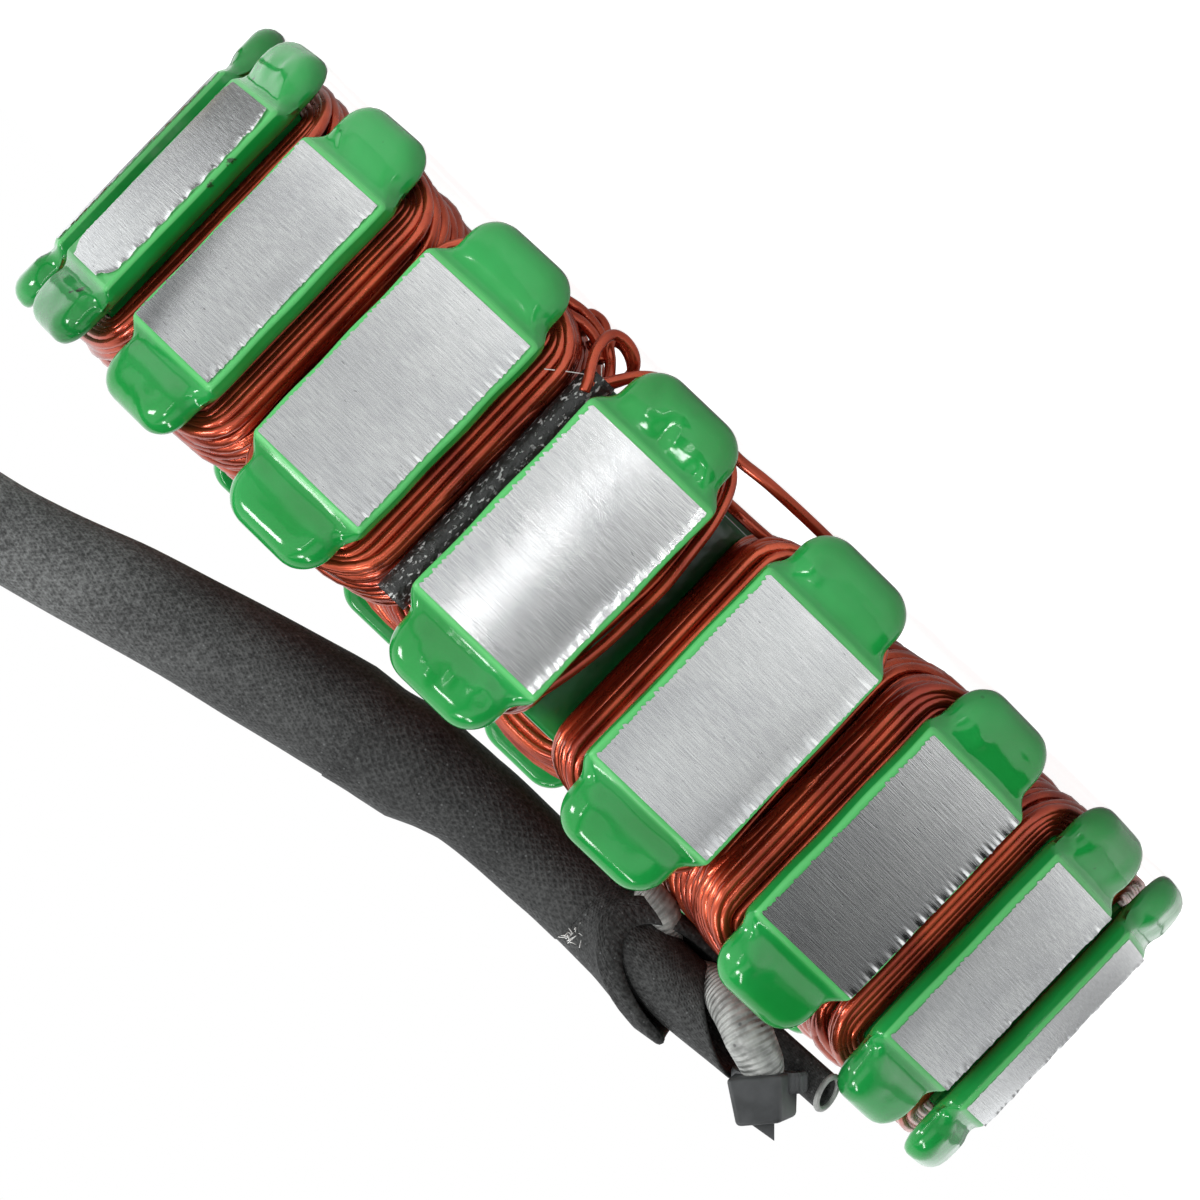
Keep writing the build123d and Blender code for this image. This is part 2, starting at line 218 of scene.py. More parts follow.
def finish(name, look):
    """A material: look is given each point's place, and its own place along the piece's surface."""
    material = bpy.data.materials.new(name)
    material.use_nodes = True
    tree = material.node_tree
    shader = tree.nodes["Principled BSDF"]
    start = Shade(tree, None)
    place = start.node("ShaderNodeTexCoord", {}, {}, "Object")
    own = start.node("ShaderNodeUVMap", {"uv_map": "UVMap"}, {})
    for socket, value in look(place, own).items():
        if isinstance(value, Shade):
            tree.links.new(value.socket, shader.inputs[socket])
        else:
            shader.inputs[socket].default_value = value
    return material


def white_board(place, own):
    """White paper, lit from behind for the camera; near the stator painted paler, with a painted glow in
    mirrors.
    """
    # Within 0.10 m, fading out by 0.30 m: a painted pool of light in the colour and a painted reflection
    # glow.
    far = place.apart().between(0.10, 0.30)
    seen = place.ray("Camera") + place.ray("Transmission")
    return {
        "Base Color": far.colour((0.70, 0.70, 0.70, 1), (0.24, 0.24, 0.24, 1)),
        "Roughness": 0.9,
        "Emission Color": (1, 1, 1, 1),
        "Emission Strength": seen * seen_glow + place.ray("Glossy") * (1 - far) * painted_reflection_glow,
    }


floor_data = bpy.data.meshes.new("floor")
floor_level = cad_box[0].z
corners = [(x * half_floor, y * half_floor, floor_level) for x, y in ((-1, -1), (1, -1), (1, 1), (-1, 1))]
floor_data.from_pydata(corners, [], [(0, 1, 2, 3)])
floor = bpy.data.objects.new("floor", floor_data)
scene.collection.objects.link(floor)
floor_data.materials.append(finish("white board", white_board))


# Stator core: the round seat about the bore, masked off when the rest was coated, so the sheets' bare
# steel shows. It is pressed from thin sheets, bored, and drilled for three screws.
mounts = {mount["name"]: mount["dims"] for mount in frame["record"]["mounts"]}
bore_radius = mounts["bore"]["r_mm"]
half_seat = mounts["bore"]["length_mm"] / 2
screw_ring = mounts["screw_holes"]["pcd_mm"] / 2
screw_radius = mounts["screw_holes"]["hole_r_mm"]
seat_radius = 32.5
under_coat = 0.4
core_edge = 0.12


def shown(name, data, material, smooth):
    """A mesh as one piece of the stator, with its finish."""
    data.polygons.foreach_set("use_smooth", [smooth] * len(data.polygons))
    data.materials.clear()
    data.materials.append(material)
    piece = bpy.data.objects.new(name, data)
    scene.collection.objects.link(piece)
    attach(piece, "root")
    return piece


def round_turns(count):
    """Evenly spaced angles once round."""
    return np.linspace(0, 2 * pi, count, endpoint=False)


def circle(radius, centre=(0, 0), count=96):
    return [(centre[0] + radius * cos(a), centre[1] + radius * sin(a)) for a in round_turns(count)]


def mesh_of_curve(curve):
    """The mesh that a curve makes, in place of the curve."""
    holder = bpy.data.objects.new(curve.name, curve)
    data = bpy.data.meshes.new_from_object(holder)
    data.name = curve.name
    bpy.data.objects.remove(holder)
    bpy.data.curves.remove(curve)
    return data


def plate_with_holes(name, loops, half_height, edge, material):
    """A flat piece from its outline and its holes, in millimetres, with its edges rounded over."""
    outline = bpy.data.curves.new(name, "CURVE")
    outline.dimensions = "2D"
    outline.fill_mode = "BOTH"
    outline.extrude = (half_height - edge) / 1000
    outline.bevel_depth = edge / 1000
    outline.bevel_resolution = 2
    outline.offset = -edge / 1000
    for loop in loops:
        spline = outline.splines.new("POLY")
        spline.points.add(len(loop) - 1)
        for point, (x, y) in zip(spline.points, loop):
            point.co = (x / 1000, y / 1000, 0, 1)
        spline.use_cyclic_u = True
    return shown(name, mesh_of_curve(outline), material, smooth=False)


def seat_steel(place, own):
    """Ground steel: sheet edges as fine lines up the bore, faint turning marks on the flat."""
    sheets = place.stretched(60, 60, 2000).noise(1.0)
    turning = place.noise(900, 3)
    stain = place.noise(120, 3).between(0.55, 0.75)
    mixed = (sheets * 0.5 + turning * 0.5).between(0.3, 0.7)
    tone = mixed.colour((0.42, 0.42, 0.43, 1), (0.60, 0.60, 0.61, 1))
    return {
        "Base Color": stain.colour(tone, (0.38, 0.35, 0.32, 1)),
        "Metallic": 1.0,
        "Roughness": 0.32 + 0.16 * turning,
        "Normal": (sheets + turning * 0.4).bump(0.00003),
    }


bolt_turns = [radians(90 + 120 * i) for i in range(3)]
bolt_loops = [circle(screw_radius, (screw_ring * cos(a), screw_ring * sin(a)), 40) for a in bolt_turns]
core_steel = finish("masked steel seat", seat_steel)
core_loops = [circle(seat_radius + under_coat), circle(bore_radius)] + bolt_loops
core = plate_with_holes("stator_core", core_loops, half_seat, core_edge, core_steel)
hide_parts("lamination_stack")


# Coated body: yoke and tooth stems under the thick green powder coat that insulates them from the
# coils. Its edges are rounded over, and it stops at the round seat.
teeth = 18
pitch = radians(360 / teeth)
yoke_apothem = 35.95
half_stem = 3.25
stem_end = 52.3
seat_step = 0.3
half_plated = half_seat + seat_step
coat_edge = 0.45


def around(azimuth, x, t):
    """The place x out along the tooth at that azimuth and t across it, seen from above."""
    return (x * cos(azimuth) - t * sin(azimuth), x * sin(azimuth) + t * cos(azimuth))


def on_tooth(number, out, across, up):
    """Points given as seen from one tooth, in the stator's own frame."""
    return np.stack([*around((number - 1) * pitch, out, across), up], axis=-1)


# Sooty marks left on the coat of tooth 18: place, and size across.
soot_marks = [((52.3, -16.1, -12.3), 1.1), ((52.2, -16.3, -10.9), 0.6), ((48.7, -24.9, -4.6), 1.0),
              ((48.6, -25.1, -2.1), 1.1), ((47.8, -26.6, 0.7), 0.7), ((50.4, -21.2, 11.4), 0.9),
              ((50.6, -20.7, 12.3), 0.6)]


def green_coat(place, own):
    """Powder coat: glossy, cloudy, brighter where it is cut at the face, with painted shade deep in the
    slots.
    """
    ragged = place.noise(1500, 3, 0.7)
    soot = 0
    for (x, y, z), across in soot_marks:
        spot = (x / 1000, y / 1000, z / 1000)
        soot = (place.apart(spot) + (ragged - 0.5) * 0.0022).between(across / 2000, across / 6000) + soot
    cloud = place.noise(90, 3)
    orange_peel = place.noise(420, 2)
    speck = place.cells(260).between(0.055, 0.03)
    out = place.stretched(1, 1, 0).apart()
    up = place.part("Z").math("ABSOLUTE")
    cut = out.between(0.05455, 0.05475) * up.between(0.0106, 0.0099)
    # Painted shade: deep in the slots between the coils the coat is painted darker, where little light
    # reaches.
    deep = (1 - out.between(0.041, 0.0495)) * (1 - up.between(0.0092, 0.0112)) * out.between(0.0325, 0.0335)
    tone = cloud.between(0.3, 0.7).colour((0.007, 0.215, 0.032, 1), (0.014, 0.285, 0.056, 1))
    specked_and_shaded = (speck * 0.4 * (1 - deep) + deep * 0.75).colour(tone, (0.006, 0.05, 0.014, 1))
    rimmed = (cut * 0.8).colour(specked_and_shaded, (0.09, 0.48, 0.13, 1))
    return {
        "Base Color": (soot * 0.9).colour(rimmed, (0.02, 0.022, 0.012, 1)),
        "Roughness": 0.08 + 0.08 * cloud + 0.3 * cut,
        "Normal": (orange_peel * 0.35 + cloud).bump(0.00015),
        "IOR": 1.5,
    }


coat = finish("green powder coat", green_coat)
slot_corner = (yoke_apothem - half_stem * sin(pitch / 2)) / cos(pitch / 2)
stem_corners = [(slot_corner, -half_stem), (stem_end, -half_stem), (stem_end, half_stem),
                (slot_corner, half_stem)]
body_outline = [around(tooth * pitch, x, t) for tooth in range(teeth) for x, t in stem_corners]
body_loops = [body_outline, circle(seat_radius)]
body = plate_with_holes("coated_body", body_loops, half_plated, coat_edge, coat)
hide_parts("end_plate_upper", "end_plate_lower")


# Tooth tips: each shoe and its two bent tabs are one pillow of green coat, ground off flush at the
# face. They are coated by hand, so each has its own lumps, runs and pits.
face_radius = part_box("lamination_stack")[1].x * 1000
half_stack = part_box("lamination_stack")[1].z * 1000
tab_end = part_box("end_plate_upper")[1].z * 1000
half_tip = 6.6
half_face = 6.15
half_tab = 5.4
tab_corner = 3.0
stack_points = 20
tab_points = 32
tab_back = 52.35
tab_foot = 11.0
back_edge = 0.6
face_step = 0.03


def grid_faces(rows, columns, closed_rows=False, closed_columns=False):
    """Quads between neighbours in a grid of points numbered row by row."""
    r = np.arange(rows if closed_rows else rows - 1)
    c = np.arange(columns if closed_columns else columns - 1)
    r, c = np.meshgrid(r, c, indexing="ij")
    r2, c2 = (r + 1) % rows, (c + 1) % columns
    quads = np.stack([r * columns + c, r * columns + c2, r2 * columns + c2, r2 * columns + c], axis=-1)
    return quads.reshape(-1, 4)


def shell_faces(rings, count):
    """Faces of a closed shell of rings, with one face across each end."""
    faces = grid_faces(rings, count, closed_columns=True).tolist()
    return faces + [list(range(count)), list(range((rings - 1) * count, rings * count))]


def ease(value):
    """0 up to 0, 1 from 1 on and smooth between."""
    value = np.clip(value, 0, 1)
    return value * value * (3 - 2 * value)


def run_along(line):
    """How far along a line each of its points is."""
    return np.concatenate([[0], np.cumsum(np.linalg.norm(np.diff(line, axis=0), axis=1))])


def resampled(line, count):
    """The same open line through count + 1 evenly spaced points."""
    run = run_along(line)
    wanted = np.linspace(0, run[-1], count + 1)
    return np.stack([np.interp(wanted, run, line[:, i]) for i in range(line.shape[1])], axis=1)


def tip_outlines():
    """The tip's outline and the bare face's, point for point, as (across, up) pairs."""
    s = np.linspace(0, 1, 12)[:, None]
    start, pull, push, end = np.array([(half_tip, half_stack), (half_tip, tab_foot), (half_tab, 10.9),
                                       (half_tab, 12.2)])
    shoulder = (1 - s) ** 3 * start + 3 * (1 - s) ** 2 * s * pull + 3 * (1 - s) * s**2 * push + s**3 * end
    a = np.linspace(0, pi / 2, 12)[:, None]
    centre = np.array([half_tab - tab_corner, tab_end - tab_corner])
    corner = centre + tab_corner * np.concatenate([np.cos(a), np.sin(a)], axis=1)
    end_line = resampled(np.concatenate([shoulder, corner, [[0, tab_end]]]), tab_points)
    ups = np.linspace(0, half_stack, stack_points + 1)[:-1]
    outer = np.concatenate([np.stack([np.full(stack_points, half_tip), ups], 1), end_line[:-1]])
    across = np.linspace(half_face, 0, tab_points + 1)[:-1]
    inner_side = np.stack([np.full(stack_points, half_face), ups], 1)
    inner_end = np.stack([across, np.full(tab_points, half_stack)], 1)
    inner = np.concatenate([inner_side, inner_end])

    def round_trip(quarter, top, side):
        half = np.concatenate([quarter, [top], (quarter * [-1, 1])[:0:-1]])
        return np.concatenate([half, [[-side, 0]], (half * [1, -1])[:0:-1]])

    return round_trip(outer, [0, tab_end], half_tip), round_trip(inner, [0, half_stack], half_face)


def distance_to(line, points):
    """How far each point is from a closed line."""
    a = line
    b = np.roll(line, -1, axis=0)
    flat = points.reshape(-1, 2)[:, None, :]
    share = ((flat - a) * (b - a)).sum(-1) / ((b - a) ** 2).sum(-1)
    nearest = a + np.clip(share, 0, 1)[..., None] * (b - a)
    return np.linalg.norm(flat - nearest, axis=-1).min(1).reshape(points.shape[:-1])


def tip_front(t, z, inside):
    """How far out the coat stands: round the face, down into a crease, up over the tab's pillow."""
    beyond = np.abs(z) - half_stack
    crease = -0.42 * ease(beyond / 0.9) * (1 - ease((beyond - 1.1) / 1.5))
    edge = 0.35 + 1.35 * ease(beyond / 2.4)
    near = edge - np.minimum(inside, edge)
    rounding = edge - np.sqrt(np.maximum(edge**2 - near**2, 0))
    return np.sqrt(face_radius**2 - t**2) - face_step + crease - rounding


def tip_back(t, z, inside):
    """How far out the back is: the shoe slopes to the stem, and the tab's back is flat."""
    shoe = 52.9 - (half_tip - np.abs(t)) * 0.358
    tab = ease((np.abs(z) - tab_foot) / 0.8)
    near = back_edge - np.minimum(inside, back_edge)
    rounding = back_edge - np.sqrt(back_edge**2 - near**2)
    return np.maximum(shoe, 51.7) * (1 - tab) + tab_back * tab + rounding


# Lumps and runs that stand out in the coat, by tooth: across, up, height and width of each.
marks = {
    15: [(2.8, -12.4, 0.20, 0.7), (1.4, -13.6, 0.24, 0.6), (0.2, -14.3, 0.22, 0.5),
         (3.2, -14.6, -0.24, 0.45), (0.6, -12.0, -0.28, 0.5), (-0.5, -12.4, 0.22, 0.28),
         (-3.3, -11.4, -0.32, 0.4), (-3.6, -12.3, 0.18, 0.45), (-2.4, -12.9, 0.14, 0.6),
         (3.4, 12.8, 0.22, 0.5), (2.2, 13.5, 0.26, 0.5), (1.0, 14.1, 0.22, 0.5), (1.0, 12.8, 0.20, 0.25),
         (0.2, 12.5, 0.16, 0.22), (-0.8, 13.0, 0.22, 0.3), (-1.6, 12.5, 0.14, 0.25),
         (-3.1, 11.9, 0.30, 0.4), (-3.7, 12.7, -0.18, 0.3), (-2.6, 12.8, 0.16, 0.3)],
    14: [(3.6, 13.2, 0.16, 0.7), (-3.0, 12.4, 0.22, 0.8), (3.4, -12.2, 0.18, 0.5)],
    13: [(3.5, 13.3, 0.42, 0.75), (1.6, 12.2, 0.20, 0.3), (2.4, -11.8, 0.26, 0.5),
         (-1.5, -13.4, -0.16, 1.0)],
    12: [(2.4, 13.0, 0.2, 0.9), (-2.2, -12.6, 0.18, 0.8)],
    17: [(2.6, -11.9, 0.22, 0.35), (-3.6, 12.8, 0.12, 0.8)],
    18: [(1.0, -12.6, 0.2, 1.0), (-2.2, -13.2, 0.18, 0.6), (0.4, 12.4, 0.16, 0.9)],
}
outline, face_line = tip_outlines()
spine = face_line * [0.1, 0.75]
under_face = np.array([0.0, 0.5, 0.8, 0.97])[:, None, None]
over_coat = np.array([0, 0.06, 0.14, 0.24, 0.34, 0.44, 0.54, 0.64, 0.74, 0.83, 0.9, 0.95, 0.985, 1.0])
over_coat = over_coat[:, None, None]
front_rings = np.concatenate([spine + (face_line - spine) * under_face,
                              face_line + (outline - face_line) * over_coat])
over_back = np.array([0.0, 0.03, 0.07, 0.12, 0.25, 0.5, 0.8])[:, None, None]
back_rings = outline + (outline * [0.15, 0.75] - outline) * over_back
front_inside = distance_to(outline, front_rings)
back_inside = distance_to(outline, back_rings)


def tooth_tip(number):
    """One coated tip: its front, its sides and its back, closed all round."""
    rng = np.random.default_rng(100 + number)
    t, z = front_rings[..., 0], front_rings[..., 1]
    x = tip_front(t, z, front_inside)
    bumps = list(marks.get(number, []))
    for _ in range(10):
        up = rng.uniform(11.6, 15.2) * rng.choice([-1, 1])
        bumps.append((rng.uniform(-4.6, 4.6), up, rng.uniform(-0.07, 0.09), rng.uniform(0.8, 1.8)))
    on_tab = ease((np.abs(z) - half_stack - 0.3) / 1.4)
    for across, up, height, width in bumps:
        x = x + on_tab * height * np.exp(-((t - across) ** 2 + (z - up) ** 2) / (2 * width**2))
    covered = (np.abs(t) < half_face - 0.05) & (np.abs(z) < half_stack - 0.05)
    x = np.where(covered, x - 0.05, x)
    back_x = tip_back(back_rings[..., 0], back_rings[..., 1], back_inside)
    side = np.array([0.25, 0.5, 0.75])[:, None]
    side_x = x[-1] + (back_x[0] - x[-1]) * side
    side_rings = np.repeat(outline[None], len(side), axis=0)
    flat = np.concatenate([front_rings, side_rings, back_rings])
    out = np.concatenate([x, side_x, back_x])
    sway = 0.05 * np.sin(flat[..., 1] * rng.uniform(0.5, 0.9) + rng.uniform(0, 6)) * np.sign(flat[..., 0])
    points = on_tooth(number, out, flat[..., 0] + sway, flat[..., 1])
    return points.reshape(-1, 3), shell_faces(*out.shape)


def mesh_piece(name, points, faces, material, own=None, seam=False, crease=None, smooth=True):
    """A closed mesh from points in millimetres, its faces turned outwards, as one piece.

    own is each point's place for patterns that follow the surface, and seam says that its first number
    runs from 1 back to 0 round a tube. The shading parts at edges bent by more than crease.
    """
    data = bpy.data.meshes.new(name)
    data.from_pydata((np.asarray(points) / 1000).tolist(), [], faces)
    if own is not None:
        corners = np.zeros(len(data.loops), np.int32)
        data.loops.foreach_get("vertex_index", corners)
        places = own[corners]
        for face in data.polygons:
            span = slice(face.loop_start, face.loop_start + face.loop_total)
            if seam and face.loop_total == 4 and np.ptp(places[span, 0]) > 0.5:
                places[span, 0] += places[span, 0] < 0.5
        layer = data.uv_layers.new(name="UVMap")
        layer.data.foreach_set("uv", places.astype(np.float32).ravel())
    shell = bmesh.new()
    shell.from_mesh(data)
    bmesh.ops.recalc_face_normals(shell, faces=shell.faces)
    if crease:
        sharp = [edge for edge in shell.edges if edge.calc_face_angle(0) > crease]
        bmesh.ops.split_edges(shell, edges=sharp)
    shell.to_mesh(data)
    shell.free()
    return shown(name, data, material, smooth)


for number in range(1, teeth + 1):
    points, faces = tooth_tip(number)
    mesh_piece(f"tooth_tip_{number:02d}", points, faces, coat)


# Tooth faces: the sheets' ends, turned to one diameter after coating. The tool leaves fine marks round
# the ring, and each sheet tears a small tooth into the coat along the long edges.
sheet = 0.5
sheet_count = int(round(2 * half_stack / sheet))
rows_per_sheet = 4
face_depth = 0.5


def turned_steel(place, own):
    """Turned sheet ends: fine lines round the ring, short dark pits and slight stains."""
    lines = own.stretched(0.5, 11.0, 1).noise(1.0, 3, 0.6)
    dashes = own.stretched(0.9, 4.2, 1).noise(1.0, 2, 0.6).between(0.64, 0.76)
    long_lines = own.stretched(0.05, 5.0, 1).noise(1.0, 2)
    cloud = own.noise(0.16, 2).between(0.40, 0.7)
    mixed = (lines * 0.8 + long_lines * 0.2).between(0.30, 0.70)
    tone = mixed.colour((0.58, 0.59, 0.59, 1), (0.76, 0.77, 0.76, 1))
    worn = (cloud * 0.22).colour(tone, (0.42, 0.43, 0.45, 1))
    return {
        "Base Color": (dashes * 0.5).colour(worn, (0.16, 0.16, 0.17, 1)),
        "Metallic": 1.0,
        "Roughness": 0.14 + 0.10 * lines,
        "Normal": (lines * 0.7 + long_lines * 0.4 - dashes * 0.5).bump(0.000006),
    }


def tooth_face(number):
    """One face: rows along the axis, four to a sheet, each as wide as its torn edge."""
    rng = np.random.default_rng(300 + number)
    rows = sheet_count * rows_per_sheet + 1
    z = np.linspace(-half_stack, half_stack, rows)
    tear = np.repeat(0.05 + 0.28 * rng.uniform(0, 1, (sheet_count, 2)) ** 2, rows_per_sheet, axis=0)
    shape = np.tile([0.0, 0.5, 0.85, 1.0], sheet_count)[:, None]
    tear = np.concatenate([tear * shape, [[0, 0]]])
    left = half_face - 0.12 + tear[:, 0]
    right = half_face + 0.02 + tear[:, 1] * 0.4
    if number == 18:
        pinch = 1 - 0.34 * ease((z - 7.6) / 2.1) ** 2 - 0.12 * ease((-z - 8.6) / 1.2)
        left, right = left * pinch - 0.15, right * pinch + 0.1 * np.sin(z * 3)
    columns = np.concatenate([[-1, -0.94, -0.87], np.linspace(-0.76, 1, 12)])[None, :]
    wide = columns.size
    t = np.where(columns < 0, columns * right[:, None], columns * left[:, None])
    x = np.sqrt(face_radius**2 - t**2) + 0.02
    burr = np.zeros((rows, wide))
    lip = np.repeat(rng.uniform(0.07, 0.17, sheet_count + 1), rows_per_sheet)[:rows]
    burr[:, 0] = lip
    burr[:, 1] = lip * 0.45
    x = x + burr
    z = np.repeat(z[:, None], wide, axis=1)
    top = on_tooth(number, x, t, z)
    under = on_tooth(number, x - face_depth, t * 0.97, z * 0.98)
    points = np.concatenate([top.reshape(-1, 3), under.reshape(-1, 3)])
    own = np.stack([t + number * 31.0, z + number * 17.0], axis=-1).reshape(-1, 2)
    count = rows * wide
    skin = grid_faces(rows, wide)
    border = np.concatenate([np.arange(wide - 1), np.arange(wide - 1, count, wide)[:-1],
                             np.arange(count - 1, count - wide, -1), np.arange(count - wide, 0, -wide)])
    after = np.roll(border, -1)
    walls = np.stack([border, after, after + count, border + count], axis=1)
    faces = np.concatenate([skin, (skin + count)[:, ::-1], walls]).tolist()
    return points, faces, np.concatenate([own, own])


face_steel = finish("turned sheet ends", turned_steel)
for number in range(1, teeth + 1):
    points, faces, own = tooth_face(number)
    name = f"tooth_face_{number:02d}"
    mesh_piece(name, points, faces, face_steel, own=own, crease=radians(40))


# Coils: round enamelled copper wire wound on each stem by machine, more layers towards the tip. The
# turns bulge over the ends, and the outer ones wander and cross.
wire_radius = 0.5
turn_count = 12
coil_low, coil_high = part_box("coil_01")
coil_inner = coil_low.x * 1000
coil_outer = coil_high.x * 1000
layer_step = 0.92
full_sides = (coil_inner * tan(pitch / 2) - 0.75, coil_outer * tan(pitch / 2) - 0.95)
slim_sides = {14: (5.2, 7.3), 15: (5.4, 6.0)}
full_end = coil_high.z * 1000
slim_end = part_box("coil_15")[1].z * 1000


def copper_enamel(place, own):
    """Red-brown enamel over copper, with a few dull patches."""
    shade = place.noise(160, 3)
    dull = place.noise(700, 2)
    return {
        "Base Color": shade.between(0.3, 0.7).colour((0.26, 0.027, 0.011, 1), (0.56, 0.088, 0.033, 1)),
        "Metallic": 0.8,
        "Roughness": 0.22 + 0.12 * dull,
        "Normal": dull.bump(0.00002),
        "Coat Weight": 0.45,
        "Coat Roughness": 0.10,
    }


def closed_tubes(paths, radius, sides, out):
    """Points of round tubes along closed paths, numbered from the side that faces out."""
    ahead = np.roll(paths, -1, axis=1) - np.roll(paths, 1, axis=1)
    ahead /= np.linalg.norm(ahead, axis=-1, keepdims=True)
    first = out - ahead * (out * ahead).sum(-1, keepdims=True)
    first /= np.linalg.norm(first, axis=-1, keepdims=True)
    second = np.cross(ahead, first)
    a = round_turns(sides)[:, None]
    return paths[:, :, None] + radius * (np.cos(a) * first[:, :, None] + np.sin(a) * second[:, :, None])


def turn_path(half_width, half_height, roundness, straight):
    """One turn about the stem: two straight sides and two bulged ends, as (across, up) points."""
    a = np.linspace(0, pi, 17)
    power = 2 / roundness
    across = half_width * np.sign(np.cos(a)) * np.abs(np.cos(a)) ** power
    up = straight + (half_height - straight) * np.abs(np.sin(a)) ** power
    end = np.stack([across, up], 1)
    side = np.linspace(straight, -straight, 9)[1:-1]
    left = np.stack([np.full(len(side), -half_width), side], 1)
    right = np.stack([np.full(len(side), half_width), -side], 1)
    return np.concatenate([end, left, end * [-1, -1], right])


def wound_turns(number):
    """All the turns of one coil that can be seen, as closed paths (out, across, up)."""
    rng = np.random.default_rng(500 + number)
    slim = number in slim_sides
    sides = slim_sides[number] if slim else full_sides
    end = slim_end if slim else full_end
    top_wander = 0.5 if slim else 0.42
    paths = []
    for k in range(turn_count):
        x = coil_inner + wire_radius + (coil_outer - coil_inner - 2 * wire_radius) * k / (turn_count - 1)
        share = k / (turn_count - 1)
        outer_width = sides[0] + (sides[1] - sides[0]) * share - wire_radius
        outer_height = end - wire_radius - 0.5 * (1 - share)
        drop = outer_height - half_plated - wire_radius
        layers = int((outer_width - half_stem - wire_radius) / layer_step + 0.6) + 1
        seen = layers if k >= turn_count - 2 or k == 0 else min(layers, 2)
        for depth in range(seen):
            top = depth == 0
            half_width = max(outer_width - layer_step * depth, half_stem + wire_radius)
            half_height = outer_height - drop * depth / max(layers - 1, 1)
            flat = turn_path(half_width, half_height, 2.5 + 0.35 * depth, half_plated - 2.2 + 0.3 * depth)
            s = np.arange(len(flat)) / len(flat) * 2 * pi
            wander = top_wander if top else 0.14
            drift = wander * rng.normal() * np.sin(s + rng.uniform(0, 6))
            drift += 0.4 * wander * rng.normal() * np.sin(2 * s + rng.uniform(0, 6))
            spread = 0.05 * rng.normal() + (0.06 if top else 0.03) * np.sin(s * 2 + rng.uniform(0, 6))
            outs = np.clip(x + drift, coil_inner + 0.4, coil_outer - 0.4)
            across = flat[:, 0] * (1 + spread / half_width)
            paths.append(np.stack([outs, across, flat[:, 1] * (1 + spread / half_height)], 1))
    if not slim:
        for _ in range(3):
            flat = turn_path(full_sides[1] - 0.3, full_end - 0.2, 2.3, half_plated - 2.6)
            s = np.arange(len(flat)) / len(flat) * 2 * pi
            lean = rng.uniform(1.5, 3.0) * rng.choice([-1, 1])
            outs = np.clip(47.6 + rng.uniform(-1.5, 1.5) + lean * np.sin(s), coil_inner + 3, coil_outer - 0.5)
            slope = (full_sides[1] - full_sides[0]) / (coil_outer - coil_inner)
            narrow = 1 - slope * (coil_outer - outs) / full_sides[1]
            shorter = 1 - 0.002 * (coil_outer - outs)
            paths.append(np.stack([outs, flat[:, 0] * narrow, flat[:, 1] * shorter], 1))
    return np.array(paths)


enamel = finish("copper enamel", copper_enamel)
seen_teeth = range(12, 19)
outwards = np.array([1.0, 0, 0])
for number in range(1, teeth + 1):
    wire_sides = 8 if number in seen_teeth else 6
    tubes = closed_tubes(wound_turns(number), wire_radius, wire_sides, outwards)
    points = on_tooth(number, tubes[..., 0], tubes[..., 1], tubes[..., 2])
    turns, steps = points.shape[:2]
    one = grid_faces(steps, wire_sides, closed_rows=True, closed_columns=True)
    faces = (one[None] + (np.arange(turns) * steps * wire_sides)[:, None, None]).reshape(-1, 4).tolist()
    coil = mesh_piece(f"winding_{number:02d}", points.reshape(-1, 3), faces, enamel)
    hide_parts(f"coil_{number:02d}")


# Crossover wires: bare enamelled wire over the lower end. One leaves the loops beside the open slot,
# passes behind two tabs and lies on the next coils; the other crosses the yoke.
def rounded_route(points, steps=8):
    """A smooth line through a few points."""
    p = np.asarray(points, float)
    p = np.concatenate([[2 * p[0] - p[1]], p, [2 * p[-1] - p[-2]]])
    s = np.linspace(0, 1, steps, endpoint=False)[:, None]
    spans = []
    for a, b, c, d in zip(p, p[1:], p[2:], p[3:]):
        bend = 2 * a - 5 * b + 4 * c - d
        twist = 3 * b - a - 3 * c + d
        spans.append(0.5 * (2 * b + (c - a) * s + bend * s**2 + twist * s**3))
    return np.concatenate(spans + [p[-2:-1]])


def frames_along(path):
    """A direction across the path at each of its points, turned as little as possible, and its partner."""
    ahead = np.gradient(path, axis=0)
    ahead /= np.linalg.norm(ahead, axis=1, keepdims=True)
    side = np.cross(ahead[0], [0.0, 0.0, 1.0])
    if np.linalg.norm(side) < 0.1:
        side = np.cross(ahead[0], [1.0, 0.0, 0.0])
    sides = []
    for direction in ahead:
        side = side - direction * side.dot(direction)
        side /= np.linalg.norm(side)
        sides.append(side)
    sides = np.array(sides)
    return sides, np.cross(ahead, sides)


